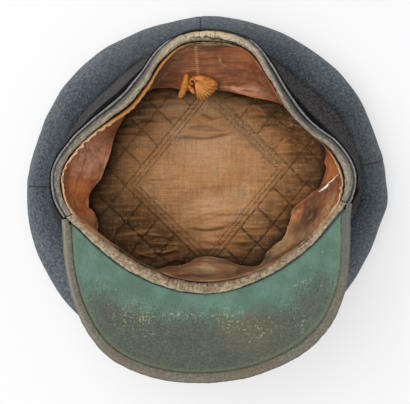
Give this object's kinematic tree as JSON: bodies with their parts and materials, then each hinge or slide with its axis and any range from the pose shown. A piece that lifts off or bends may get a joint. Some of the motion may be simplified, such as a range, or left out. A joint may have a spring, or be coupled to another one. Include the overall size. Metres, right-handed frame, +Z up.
{
  "type": "peaked cap",
  "caption": "Soft wool peaked cap lying upside down on its crown, with a ribbed band, leather sweatband, quilted lining and a bound peak lined in green leathercloth.",
  "frame": {"origin": "on the surface the crown rests on, under the middle of the cap's box", "axes": "+Z up, away from that surface and into the head opening; the peak points to -Y, the back of the head to +Y, and +X is the right of the cap as it lies"},
  "size_m": [0.2767, 0.2724, 0.1121],
  "materials": {
    "wool": "matt blue-grey wool cloth",
    "band_cloth": "matt charcoal ribbed braid",
    "rim_strip": "worn pale woven strip",
    "peak_skin": "worn green leathercloth",
    "peak_strip": "worn grey-brown binding",
    "sweat_leather": "polished old brown leather",
    "ribbon": "tan ribbon",
    "lining_cloth": "quilted brown lining",
    "strap_leather": "dark brown leather"
  },
  "bodies": {
    "root": {"crown_top": "wool", "crown_quarter_back_left": "wool", "crown_quarter_back_right": "wool", "crown_quarter_front_left": "wool", "crown_quarter_front_right": "wool", "band": "band_cloth", "rim_binding": "rim_strip", "rim_welt": "rim_strip", "peak": "wool", "peak_lining": "peak_skin", "peak_binding": "peak_strip", "sweatband": "sweat_leather", "sweatband_bow": "ribbon", "lining": "lining_cloth", "chin_strap": "strap_leather"}
  },
  "joints": []
}
